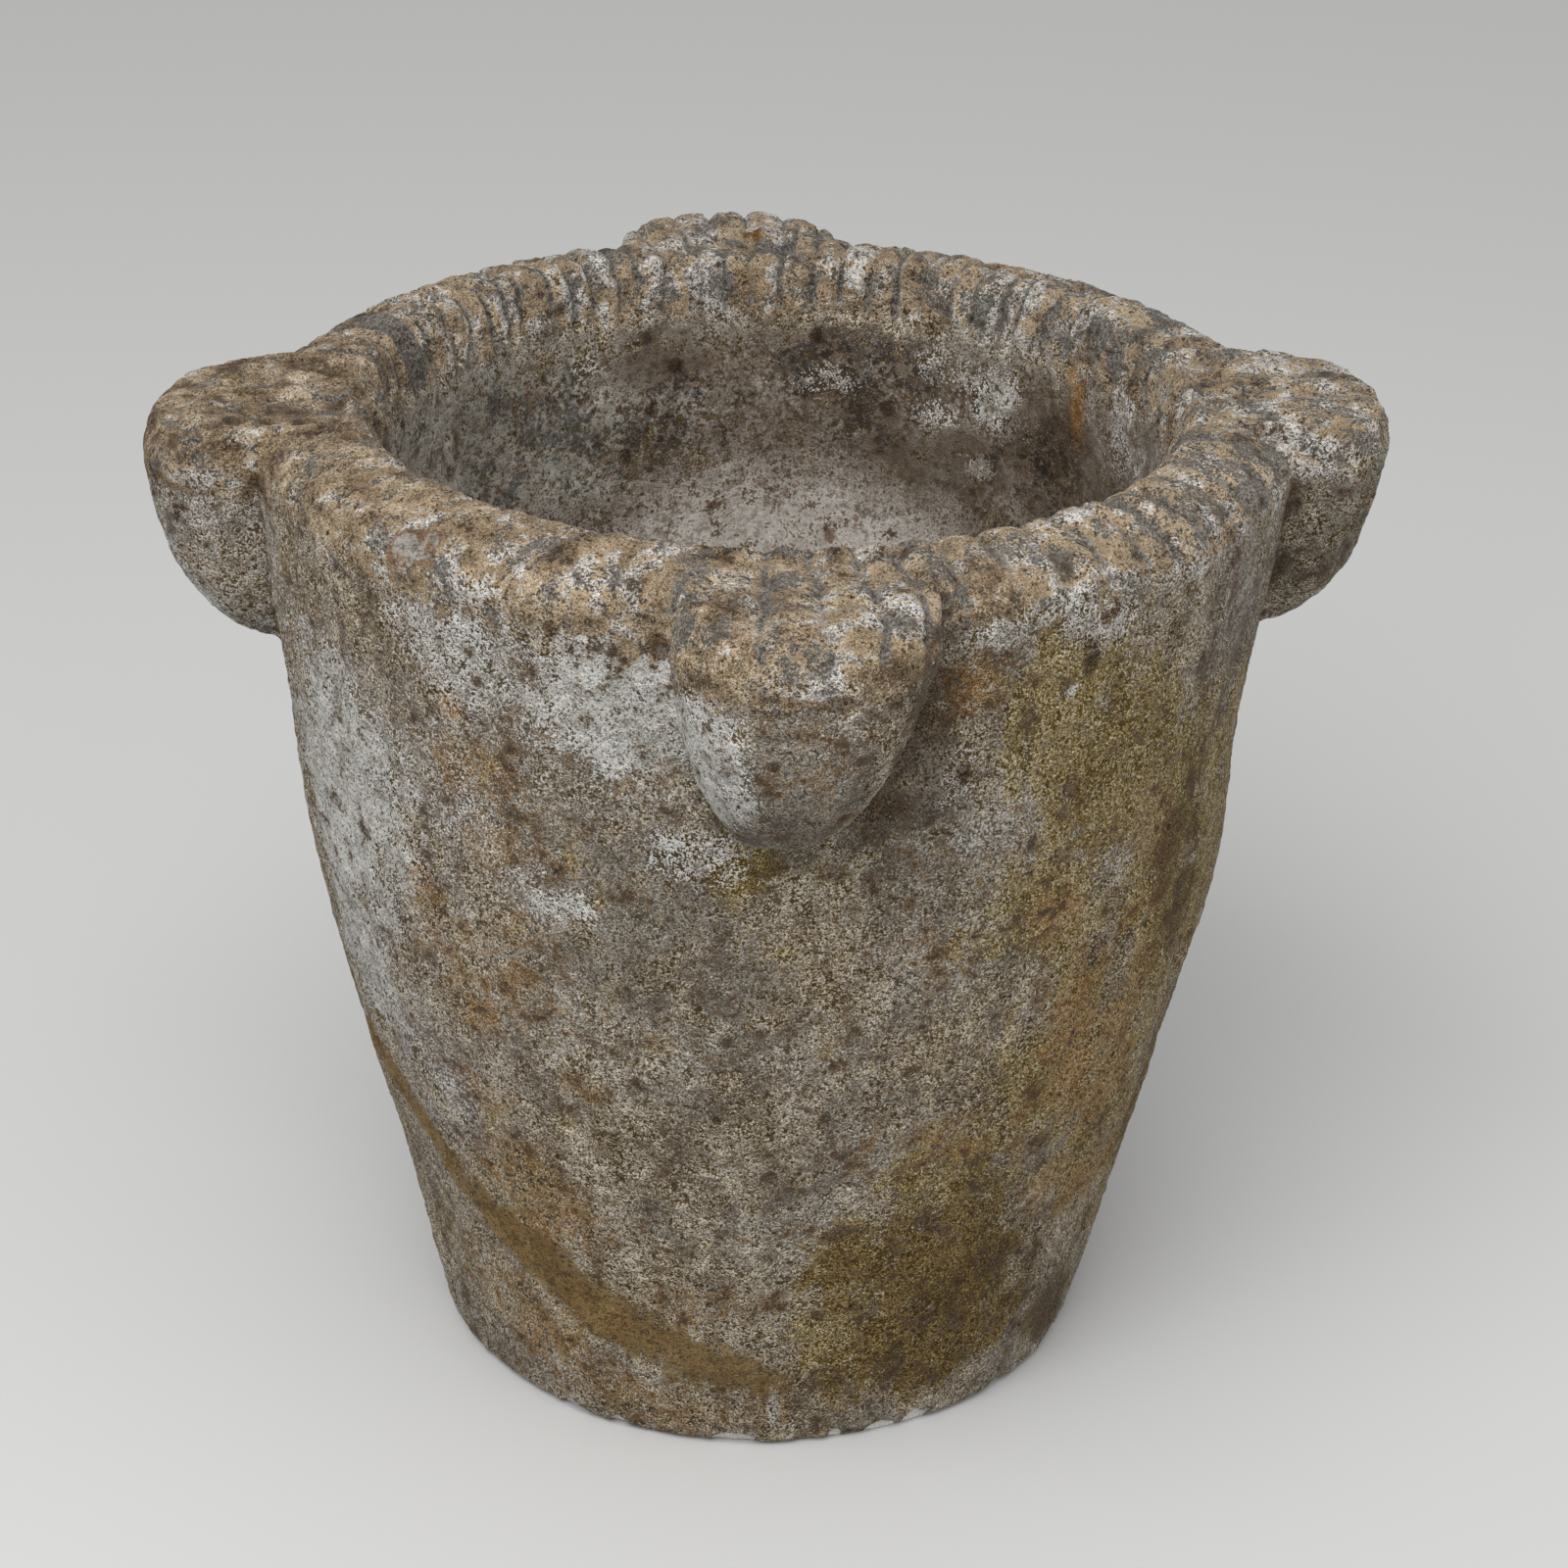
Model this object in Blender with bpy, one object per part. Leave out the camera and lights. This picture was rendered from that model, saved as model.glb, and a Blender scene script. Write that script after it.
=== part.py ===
"""Round stone planter: an old four-lugged mortar, carved from one block of limestone.

The block has no separate pieces, so it is one closed solid. Its skin is a stack of
rings round the Z axis, from the middle of the base up the wall, over the rim and down
to the middle of the bowl. Two section lines set each ring: one through the plain wall
and one through the middle of a lug. Between the sides of a lug the ring swells from the
first line to the second. The worn chisel grooves notch the rings of the rim.

Metres, +Z up, origin at the centre of the base, lugs on the X and Y directions.
"""

import math

import bmesh
import bpy

# Block
height = 0.500
base_radius = 0.166
base_edge_bevel = 0.004
wall_top_radius = 0.250

# Rim: the crest is its highest line, the mouth is where the bowl starts
rim_outer_width = 0.044
rim_inner_width = 0.019
rim_outer_drop = 0.021
rim_inner_drop = 0.042

# Bowl
floor_thickness = 0.170
bowl_power = 2.4

# Lugs
lug_count = 4
lug_projection = 0.051
lug_width = 0.116
lug_height = 0.120
lug_top_drop = 0.0035
lug_power = 2.3

# Grooves across the rim: each has one point in its valley and two on the ridge beside it
groove_count = 76
groove_depth = 0.0035
points_per_groove = 3

# The wall between base and rim: how high, and how far out from base to top
wall_flare_shares = (
    (0.10, 0.14),
    (0.21, 0.28),
    (0.32, 0.44),
    (0.42, 0.575),
    (0.53, 0.695),
    (0.63, 0.785),
    (0.74, 0.85),
)

# A lug's section from its underside to its nose: height, projection and half width
lug_nose_shares = (
    (0.00, 0.00, 0.45),
    (0.03, 0.36, 0.45),
    (0.10, 0.53, 0.55),
    (0.20, 0.69, 0.70),
    (0.37, 0.87, 0.84),
    (0.61, 0.97, 0.95),
    (0.80, 1.00, 1.00),
)

# Outer side of the rim, wall to crest: how far round the rim, then how far out and how
# high a lug's section lies there, and how deep the grooves are
rim_outer_shares = (
    (0.00, 1.00, 0.00, 0.30),
    (0.25, 0.97, 0.45, 0.80),
    (0.50, 0.89, 0.80, 1.00),
    (0.75, 0.66, 0.97, 1.00),
)

# Inner side of the rim, crest to mouth: how far round the rim, and how deep the grooves
rim_inner_shares = (
    (0.00, 1.00),
    (0.35, 1.00),
    (0.70, 0.60),
    (1.00, 0.00),
)

# Bowl, mouth to floor, as shares of a quarter turn
bowl_turn_shares = (0.17, 0.34, 0.52, 0.70, 0.87)

# Finish
stone_color = (0.29, 0.25, 0.19, 1.0)
stone_roughness = 0.92
stone_metallic = 0.0
smooth_angle = math.radians(38)

# Worked out
quarter_turn = math.pi / 2
full_turn = 2 * math.pi
fine_count = groove_count * points_per_groove
crest_radius = wall_top_radius - rim_outer_width
mouth_radius = crest_radius - rim_inner_width
wall_top_height = height - rim_outer_drop
mouth_height = height - rim_inner_drop
bowl_depth = mouth_height - floor_thickness
lug_reach = wall_top_radius + lug_projection
lug_top_height = height - lug_top_drop
lug_underside_height = lug_top_height - lug_height
lug_half_angle = math.asin(lug_width / 2 / wall_top_radius)
lug_spacing_angle = full_turn / lug_count


def mix(low, high, share):
    """The value that lies a share of the way from low to high."""
    return low + (high - low) * share


def wall_radius(z):
    """Radius of the plain wall at height z, along straight stretches of its flare."""
    places = [(0.0, 0.0), *wall_flare_shares, (1.0, 1.0)]
    for (low, low_out), (high, high_out) in zip(places, places[1:]):
        low_z = mix(base_edge_bevel, wall_top_height, low)
        high_z = mix(base_edge_bevel, wall_top_height, high)
        if z <= high_z:
            along = (z - low_z) / (high_z - low_z)
            return mix(base_radius, wall_top_radius, mix(low_out, high_out, along))
    return wall_top_radius


def around(index, count, half_angle):
    """Angle of a ring's point, and how much of a lug is there: 1 in its middle, 0 off it.

    The points near a lug crowd together or spread, so that one lies on each of its sides.
    """
    per_lug = count / lug_count
    lug_index = round(index / per_lug)
    steps = index - lug_index * per_lug
    side_steps = max(2, round(per_lug * lug_half_angle / lug_spacing_angle))
    across = abs(steps) / side_steps
    if across < 1.0:
        off_middle = half_angle * across
        swell = (1.0 - across ** lug_power) ** (1.0 / lug_power)
    else:
        beyond = (abs(steps) - side_steps) / (per_lug / 2 - side_steps)
        off_middle = mix(half_angle, lug_spacing_angle / 2, beyond)
        swell = 0.0
    return lug_index * lug_spacing_angle + math.copysign(off_middle, steps), swell


def ring(bm, count, wall, lug=None, width_share=1.0, turn=quarter_turn, notch=0.0):
    """A closed ring of points. wall and lug are (radius, height) on the two sections."""
    points = []
    for index in range(count):
        angle, swell = full_turn * index / count, 0.0
        if lug:
            angle, swell = around(index, count, lug_half_angle * width_share)
        depth = notch if index % points_per_groove == 0 else 0.0
        radius = mix(wall[0], (lug or wall)[0], swell) - depth * math.cos(turn)
        z = mix(wall[1], (lug or wall)[1], swell) - depth * math.sin(turn)
        points.append(bm.verts.new((radius * math.cos(angle), radius * math.sin(angle), z)))
    return points


def band(bm, low, high):
    """Faces between two rings, either of which may have a point for each groove only."""
    count = min(len(low), len(high))
    for index in range(count):
        face = sector(low, index, count) + sector(high, index, count)[::-1]
        bm.faces.new(face)


def sector(points, index, count):
    """The points of a ring along one of count equal sectors, both ends included."""
    step = len(points) // count
    return [points[(index * step + offset) % len(points)] for offset in range(step + 1)]


def cap(bm, points, z, upward):
    """A fan of faces that closes a ring with a point on the axis."""
    middle = bm.verts.new((0.0, 0.0, z))
    for index, point in enumerate(points):
        after = points[(index + 1) % len(points)]
        bm.faces.new((point, after, middle) if upward else (after, point, middle))


def base_and_wall(bm):
    """Rings from the flat base up the plain wall, to half a lug's width under the lugs."""
    rings = [
        ring(bm, groove_count, (base_radius - base_edge_bevel, 0.0)),
        ring(bm, groove_count, (base_radius, base_edge_bevel)),
    ]
    for up, _ in wall_flare_shares:
        z = mix(base_edge_bevel, wall_top_height, up)
        if z < lug_underside_height - lug_width / 2:
            rings.append(ring(bm, groove_count, (wall_radius(z), z)))
    return rings


def lug_noses(bm):
    """Rings up the wall past the underside and nose of the lugs."""
    rings = []
    for up, out, wide in lug_nose_shares:
        z = mix(lug_underside_height, lug_top_height, up)
        radius = wall_radius(z)
        rings.append(ring(bm, fine_count, (radius, z), (mix(radius, lug_reach, out), z), wide))
    return rings


def rim(bm):
    """Grooved rings over the rim and the tops of the lugs, down to the mouth."""
    rings = []
    for share, out, up, notch in rim_outer_shares:
        turn = quarter_turn * share
        wall = (
            crest_radius + rim_outer_width * math.cos(turn),
            wall_top_height + rim_outer_drop * math.sin(turn),
        )
        lug = (mix(crest_radius, lug_reach, out), mix(wall_top_height, lug_top_height, up))
        rings.append(ring(bm, fine_count, wall, lug, turn=turn, notch=groove_depth * notch))
    for share, notch in rim_inner_shares:
        turn = quarter_turn * (1 + share)
        wall = (
            crest_radius + rim_inner_width * math.cos(turn),
            mouth_height + rim_inner_drop * math.sin(turn),
        )
        rings.append(ring(bm, fine_count, wall, turn=turn, notch=groove_depth * notch))
    return rings


def bowl(bm):
    """Rings down the inside of the bowl."""
    rings = []
    for share in bowl_turn_shares:
        turn = quarter_turn * share
        radius = mouth_radius * math.cos(turn) ** (2 / bowl_power)
        z = mouth_height - bowl_depth * math.sin(turn) ** (2 / bowl_power)
        rings.append(ring(bm, groove_count, (radius, z)))
    return rings


def stone_material():
    material = bpy.data.materials.new("stone")
    material.use_nodes = True
    shader = material.node_tree.nodes["Principled BSDF"]
    shader.inputs["Base Color"].default_value = stone_color
    shader.inputs["Roughness"].default_value = stone_roughness
    shader.inputs["Metallic"].default_value = stone_metallic
    material.diffuse_color = stone_color
    return material


def stone_block():
    """The whole planter, one block."""
    bm = bmesh.new()
    rings = base_and_wall(bm) + lug_noses(bm) + rim(bm) + bowl(bm)
    for low, high in zip(rings, rings[1:]):
        band(bm, low, high)
    cap(bm, rings[0], 0.0, upward=False)
    cap(bm, rings[-1], floor_thickness, upward=True)
    mesh = bpy.data.meshes.new("stone_block")
    bm.to_mesh(mesh)
    bm.free()
    mesh.shade_smooth()
    mesh.set_sharp_from_angle(angle=smooth_angle)
    mesh.materials.append(stone_material())
    block = bpy.data.objects.new("stone_block", mesh)
    bpy.context.scene.collection.objects.link(block)
    return block


for thing in list(bpy.data.objects):
    bpy.data.objects.remove(thing, do_unlink=True)
stone_block()
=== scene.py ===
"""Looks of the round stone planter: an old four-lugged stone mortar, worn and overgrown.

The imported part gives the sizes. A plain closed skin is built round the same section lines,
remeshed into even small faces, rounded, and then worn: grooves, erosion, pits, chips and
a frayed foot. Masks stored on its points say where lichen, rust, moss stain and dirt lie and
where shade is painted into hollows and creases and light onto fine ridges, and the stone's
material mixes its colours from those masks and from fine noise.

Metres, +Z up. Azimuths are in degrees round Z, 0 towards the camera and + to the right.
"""

import math
from collections import namedtuple

import bpy
import numpy as np
from mathutils import Matrix, Vector


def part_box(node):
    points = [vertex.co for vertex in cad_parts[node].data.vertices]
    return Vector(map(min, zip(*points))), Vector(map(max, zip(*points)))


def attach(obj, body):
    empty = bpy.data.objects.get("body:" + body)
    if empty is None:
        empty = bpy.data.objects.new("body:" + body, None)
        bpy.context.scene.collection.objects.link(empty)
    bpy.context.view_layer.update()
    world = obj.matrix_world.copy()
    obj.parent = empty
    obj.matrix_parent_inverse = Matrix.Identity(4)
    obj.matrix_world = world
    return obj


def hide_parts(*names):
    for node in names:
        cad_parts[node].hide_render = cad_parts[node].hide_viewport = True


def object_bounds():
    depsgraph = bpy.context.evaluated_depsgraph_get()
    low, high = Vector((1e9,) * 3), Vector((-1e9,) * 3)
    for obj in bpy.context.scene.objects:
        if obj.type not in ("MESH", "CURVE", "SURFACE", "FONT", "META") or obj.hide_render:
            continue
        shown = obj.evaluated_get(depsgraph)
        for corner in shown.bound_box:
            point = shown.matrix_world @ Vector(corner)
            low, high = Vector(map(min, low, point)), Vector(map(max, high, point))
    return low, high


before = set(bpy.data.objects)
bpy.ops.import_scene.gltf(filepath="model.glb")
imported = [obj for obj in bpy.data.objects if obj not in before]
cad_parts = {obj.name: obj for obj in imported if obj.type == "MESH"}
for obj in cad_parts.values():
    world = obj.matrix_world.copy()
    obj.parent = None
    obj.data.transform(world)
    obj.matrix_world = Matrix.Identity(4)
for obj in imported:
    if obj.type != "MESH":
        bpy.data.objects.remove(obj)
cad_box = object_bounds()

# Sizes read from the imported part
block_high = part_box("stone_block")[1]
height = block_high.z
lug_reach = block_high.x

# Sizes of the block, as in the part's source
base_radius = 0.166
base_edge_bevel = 0.004
wall_top_radius = 0.250
rim_outer_width = 0.044
rim_inner_width = 0.019
rim_outer_drop = 0.021
rim_inner_drop = 0.042
floor_thickness = 0.170
bowl_power = 2.4
lug_width = 0.116
lug_height = 0.120
lug_top_drop = 0.0035
lug_count = 4

crest_radius = wall_top_radius - rim_outer_width
mouth_radius = crest_radius - rim_inner_width
wall_top_height = height - rim_outer_drop
mouth_height = height - rim_inner_drop
bowl_depth = mouth_height - floor_thickness
lug_top_height = height - lug_top_drop
lug_underside_height = lug_top_height - lug_height
lug_half_angle = math.asin(lug_width / 2 / wall_top_radius)
lug_spacing_angle = 2 * math.pi / lug_count

wall_flare = (
    (0.0, 0.0), (0.10, 0.14), (0.21, 0.28), (0.32, 0.44), (0.42, 0.575), (0.53, 0.695),
    (0.63, 0.785), (0.74, 0.85), (1.0, 1.0),
)
lug_nose = (
    (0.00, 0.00, 0.45), (0.03, 0.36, 0.45), (0.10, 0.53, 0.55), (0.20, 0.69, 0.70),
    (0.37, 0.87, 0.84), (0.61, 0.97, 0.95), (0.80, 1.00, 1.00),
)
rim_outer = (
    (0.00, 1.00, 0.00), (0.25, 0.97, 0.45), (0.50, 0.89, 0.80), (0.75, 0.66, 0.97), (1.00, 0.00, 0.86),
)

# How each lug strays from the even one, in the order +X, +Y, -X, -Y: turned by some degrees, how
# square in plan, how far its foot turns and narrows, how high its top is lifted, and how far its
# nose falls short at shares of its height
Lug = namedtuple("Lug", "turn power foot_turn foot_narrow lift trims")
full_nose = ((0.0, 0.0), (1.0, 0.0))
right_nose = ((0.0, 0.0), (0.20, 0.0025), (0.45, 0.0055), (0.70, 0.0035), (1.0, 0.0))
left_nose = ((0.0, 0.0), (0.25, 0.0028), (0.50, 0.0018), (0.75, 0.0), (1.0, 0.0))
lug_shapes = (
    Lug(0.0, 2.3, 0.0, 0.0, 0.0012, right_nose),
    Lug(2.2, 2.0, 0.0, 0.0, 0.0030, full_nose),
    Lug(0.0, 2.2, 0.0, 0.0, 0.0012, left_nose),
    Lug(0.0, 2.3, -2.3, 0.17, 0.0, full_nose),
)

# Broad swellings and dents of the wall: azimuth, height, half sizes in degrees and metres, and how far
# they stand out
swellings = (
    (84, 0.350, 22, 0.050, -0.0035),
    (82, 0.180, 18, 0.035, -0.0018),
    (80, 0.255, 16, 0.030, 0.0012),
    (-97, 0.365, 20, 0.040, -0.0020),
    (-32, 0.020, 44, 0.030, 0.0020),
)

# The plain skin: radii of the base's first two rings, the step between the rings of the wall, how many
# rings there are elsewhere, how many points lie from a lug's middle to its side and on to half way to
# the next lug, the size of the even faces, how often they are rounded, and where that sets in above
# the foot
base_first_radii = (0.001, 0.02)
grid_step = 0.004
base_ring_count = 30
nose_ring_count = 32
rim_outer_ring_count = 26
rim_inner_ring_count = 14
bowl_ring_count = 90
lug_steps = 34
plain_steps = 40
face_size = 0.0016
rounding_steps = 14
foot_rounding = (0.004, 0.016)

# Camera, fitted to the photograph: its place in metres, its turn in degrees, its pitch and roll in
# radians, and its lens and sensor in millimetres
camera_place = (-0.1175, -1.7461, 1.135)
front_turn = 4.125
camera_pitch = 0.4524
camera_roll = 0.0192
camera_lens = 88.8
sensor_width = 36.0


# Noise fields, worked out at the points of a mesh by geometry nodes. A noise runs from about -1 to 1
# in bumps of its size, with smaller bumps in its further layers. Spots lie scattered, one to each cell
# of their size, strayed a little, and their field is the distance to the nearest.
Noise = namedtuple("Noise", "size layers rough stretch", defaults=(3, 0.5, (1, 1, 1)))
Spots = namedtuple("Spots", "size stray")
fields_wanted = {
    "wobble": Noise(0.080, 2, stretch=(1, 1, 0.45)),
    "cut": Noise(0.024, 3, stretch=(1, 1, 0.35)),
    "lump": Noise(0.012, 3, 0.55),
    "grain": Noise(0.0055, 3, 0.65),
    "ridge": Noise(0.018, 4, 0.55),
    "flake": Noise(0.011, 5, 0.6, stretch=(1, 1, 1.6)),
    "stray": Noise(0.028, 4, 0.6),
    "fill": Noise(0.030, 3, 0.6),
    "fray_wide": Noise(0.045, 4, 0.6),
    "fray_fine": Noise(0.014, 4, 0.65),
    "edge": Noise(0.022, 4, 0.6),
    "foot": Noise(0.020, 4, 0.6),
    "large": Spots(0.022, 0.010),
    "small": Spots(0.0080, 0.003),
    "blister": Spots(0.0125, 0.009),
}


class Nodes:
    """Short calls for the nodes of a tree."""

    def __init__(self, tree):
        self.tree = tree

    def link(self, value, socket):
        """Links another node's socket to this one, or sets a plain value on it."""
        if isinstance(value, bpy.types.NodeSocket):
            self.tree.links.new(value, socket)
        else:
            socket.default_value = value

    def node(self, kind, inputs=None, **settings):
        """A new node with its settings, and with values or other nodes' sockets at its inputs."""
        node = self.tree.nodes.new(kind)
        for name, value in settings.items():
            setattr(node, name, value)
        for name, value in (inputs or {}).items():
            self.link(value, node.inputs[name])
        return node


class FieldTree(Nodes):
    """A geometry-nodes tree that stores noise fields on the points of a mesh."""

    def __init__(self):
        super().__init__(bpy.data.node_groups.new("fields", "GeometryNodeTree"))
        for way in ("INPUT", "OUTPUT"):
            self.tree.interface.new_socket("Geometry", in_out=way, socket_type="NodeSocketGeometry")
        self.position = self.node("GeometryNodeInputPosition").outputs[0]
        self.passed = self.node("NodeGroupInput").outputs[0]

    def store(self, name, value):
        inputs = {"Geometry": self.passed, "Name": name, "Value": value}
        node = self.node("GeometryNodeStoreNamedAttribute", inputs, data_type="FLOAT", domain="POINT")
        self.passed = node.outputs["Geometry"]

    def vector(self, operation, first, second):
        node = self.node("ShaderNodeVectorMath", {0: first, 1: second}, operation=operation)
        return node.outputs["Vector"]

    def noise(self, place, size, layers, rough):
        inputs = {"Vector": place, "Scale": 1 / size, "Detail": layers - 1, "Roughness": rough}
        return self.node("ShaderNodeTexNoise", inputs)

    def spots(self, name, place, field):
        """Stores the distance to the nearest spot, and two numbers of its own."""
        stray = self.noise(place, field.size * 0.7, 3, 0.6).outputs["Color"]
        stray = self.vector("SUBTRACT", stray, (0.5, 0.5, 0.5))
        place = self.vector("ADD", place, self.vector("MULTIPLY", stray, (field.stray,) * 3))
        nearest = self.node("ShaderNodeTexVoronoi", {"Vector": place, "Scale": 1 / field.size})
        own = self.node("ShaderNodeSeparateXYZ", {0: nearest.outputs["Color"]})
        self.store(name, nearest.outputs["Distance"])
        self.store(name + "_own", own.outputs[0])
        self.store(name + "_size", own.outputs[1])

    def add(self, name, field, seed):
        shift = (seed, seed * 0.7, seed * 1.3)
        if isinstance(field, Spots):
            self.spots(name, self.vector("ADD", self.position, shift), field)
        else:
            place = self.vector("ADD", self.vector("MULTIPLY", self.position, field.stretch), shift)
            self.store(name, self.noise(place, field.size, field.layers, field.rough).outputs["Fac"])

    def close(self):
        self.link(self.passed, self.node("NodeGroupOutput").inputs[0])
        return self.tree


def add_object(name, data):
    added = bpy.data.objects.new(name, data)
    bpy.context.scene.collection.objects.link(added)
    return added


def evaluated(thing):
    """An object as its modifiers make it."""
    bpy.context.view_layer.update()
    return thing.evaluated_get(bpy.context.evaluated_depsgraph_get())


def read_values(items, name, width=1, kind=np.float32):
    """One named value of each item, in a row of its own where it has more than one number."""
    values = np.empty(len(items) * width, kind)
    items.foreach_get(name, values)
    return values.reshape(-1, width) if width > 1 else values


def measure(mesh, wanted):
    """The wanted fields at each point of the mesh, by name, with each spot field's own numbers."""
    fields = FieldTree()
    for seed, (name, field) in enumerate(wanted.items(), start=1):
        fields.add(name, field, seed)
    carrier = add_object("fields", mesh)
    carrier.modifiers.new("fields", "NODES").node_group = fields.close()
    stored = evaluated(carrier).data.attributes

    def read(name):
        return read_values(stored[name].data, "value").astype(float)

    found = {}
    for name, field in wanted.items():
        if isinstance(field, Noise):
            found[name] = (read(name) - 0.5) * 5
        else:
            found[name] = read(name) * field.size
            for own in (name + "_own", name + "_size"):
                found[own] = read(own)
    bpy.data.objects.remove(carrier)
    bpy.data.node_groups.remove(fields.tree)
    return found


def scattered(*whole_numbers):
    """A number from 0 to 1 that looks random, and is the same for the same whole numbers."""
    return np.random.default_rng(whole_numbers).random()


def wrapped(azimuth):
    """An azimuth as -180 to 180."""
    return (azimuth + 180) % 360 - 180


def smooth_step(low, high, value):
    """0 below low, 1 above high, and a smooth rise between them. low may be the larger."""
    share = np.clip((value - low) / (high - low), 0, 1)
    return share * share * (3 - 2 * share)


def smooth_curve(places, values, at):
    """Values along a curve that passes smoothly through a few and never overshoots them."""
    places, values = np.array(places, float), np.array(values, float)
    gaps = np.diff(places)
    slopes = np.diff(values) / gaps
    same_way = slopes[1:] * slopes[:-1] > 0
    sums = np.where(same_way, slopes[1:] + slopes[:-1], 1)
    middle = np.where(same_way, 2 * slopes[1:] * slopes[:-1] / sums, 0)
    tangents = np.concatenate([slopes[:1], middle, slopes[-1:]])
    index = np.clip(np.searchsorted(places, at) - 1, 0, len(gaps) - 1)
    t = np.clip((at - places[index]) / gaps[index], 0, 1)
    return (
        (2 * t ** 3 - 3 * t ** 2 + 1) * values[index]
        + (t ** 3 - 2 * t ** 2 + t) * gaps[index] * tangents[index]
        + (3 * t ** 2 - 2 * t ** 3) * values[index + 1]
        + (t ** 3 - t ** 2) * gaps[index] * tangents[index + 1]
    )


def curve_value(pairs, at):
    """One value of the smooth curve through the pairs."""
    places, values = zip(*pairs)
    return float(smooth_curve(places, values, np.array([at]))[0])


# The plain skin

def wall_radius(z):
    """Radius of the plain wall at height z."""
    up, out = zip(*wall_flare)
    share = (z - base_edge_bevel) / (wall_top_height - base_edge_bevel)
    return base_radius + (wall_top_radius - base_radius) * smooth_curve(up, out, share)


# A ring of the skin: radius and height on the wall's section and on a lug's, and the lug's width
Ring = namedtuple("Ring", "wall_r wall_z lug_r lug_z wide")


def column(table, index):
    """Pairs of the first number of each row and another one."""
    return [(row[0], row[index]) for row in table]


def round_ring(radius, z, wide=1.0):
    return Ring(radius, z, radius, z, wide)


def base_and_wall_rings():
    first, second = base_first_radii
    rings = [round_ring(first, 0.0)]
    for radius in np.linspace(second, base_radius - base_edge_bevel, base_ring_count):
        rings.append(round_ring(radius, 0.0))
    for z in np.arange(base_edge_bevel, lug_underside_height, grid_step):
        rings.append(round_ring(float(wall_radius(np.array([z]))[0]), z, lug_nose[0][2]))
    return rings


def nose_rings():
    """Rings up the wall past the underside and nose of the lugs."""
    rings = []
    out, wide = column(lug_nose, 1), column(lug_nose, 2)
    for share in np.linspace(0, lug_nose[-1][0], nose_ring_count):
        z = lug_underside_height + lug_height * share
        radius = float(wall_radius(np.array([z]))[0])
        reach = radius + (lug_reach - radius) * curve_value(out, share)
        rings.append(Ring(radius, z, reach, z, curve_value(wide, share)))
    return rings


def rim_rings():
    """Rings over the rim and the lug tops, from the wall's top to the mouth."""
    rings = []
    out, up = column(rim_outer, 1), column(rim_outer, 2)
    for share in np.linspace(0, 1, rim_outer_ring_count):
        turn = share * math.pi / 2
        radius = crest_radius + rim_outer_width * math.cos(turn)
        z = wall_top_height + rim_outer_drop * math.sin(turn)
        reach = crest_radius + (lug_reach - crest_radius) * curve_value(out, share)
        top = wall_top_height + (lug_top_height - wall_top_height) * curve_value(up, share)
        rings.append(Ring(radius, z, reach, top, 1.0))
    for share in np.linspace(0.1, 1, rim_inner_ring_count):
        turn = (1 + share) * math.pi / 2
        radius = crest_radius + rim_inner_width * math.cos(turn)
        rings.append(round_ring(radius, mouth_height + rim_inner_drop * math.sin(turn)))
    return rings


def bowl_rings():
    rings = []
    for share in np.linspace(0.03, 0.995, bowl_ring_count):
        turn = share * math.pi / 2
        radius = mouth_radius * math.cos(turn) ** (2 / bowl_power)
        rings.append(round_ring(radius, mouth_height - bowl_depth * math.sin(turn) ** (2 / bowl_power)))
    return rings


def quarter_points(ring, index):
    """Points of one ring round the lug with the given index, half way to its neighbours."""
    lug = lug_shapes[index]
    up = np.clip((ring.wall_z - lug_underside_height) / lug_height, 0, 1)
    half = lug_half_angle * ring.wide * (1 - lug.foot_narrow * (1 - up))
    corner_turn = np.linspace(0, math.pi / 2, lug_steps + 1)
    swell = np.cos(corner_turn) ** (2 / lug.power)
    swell[-1] = 0.0
    beyond = np.linspace(half, lug_spacing_angle / 2, plain_steps + 1)[1:]
    off = np.concatenate([np.sin(corner_turn) ** (2 / lug.power) * half, beyond])
    there = np.concatenate([swell, np.zeros(plain_steps)])
    off = np.concatenate([-off[:0:-1], off[:-1]])
    there = np.concatenate([there[:0:-1], there[:-1]])
    near = smooth_step(1.0, 0.45, np.abs(off) / off.max())
    turn = math.radians(lug.turn + lug.foot_turn * (1 - up)) * near
    angle = index * lug_spacing_angle + off + turn
    reach, top = ring.lug_r, ring.lug_z
    if reach > ring.wall_r + base_edge_bevel / 4:
        reach -= np.interp(up, *zip(*lug.trims))
    if top > ring.wall_z:
        top += lug.lift * smooth_step(0.8, 1.0, up)
    radius = ring.wall_r + (reach - ring.wall_r) * there
    z = ring.wall_z + (top - ring.wall_z) * there
    return np.stack([radius * np.cos(angle), radius * np.sin(angle), z], axis=1)


def ring_faces(count, rows):
    """Faces between rows of count points each, closed round the axis and at both ends."""
    index = np.arange(count)
    after = (index + 1) % count
    faces = []
    for row in range(rows - 1):
        low, high = row * count, (row + 1) * count
        faces += np.stack([low + index, low + after, high + after, high + index], axis=1).tolist()
    start, end = rows * count, rows * count + 1
    last = (rows - 1) * count
    for a, b in zip(index.tolist(), after.tolist()):
        faces.append((start, b, a))
        faces.append((last + a, last + b, end))
    return faces


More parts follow.
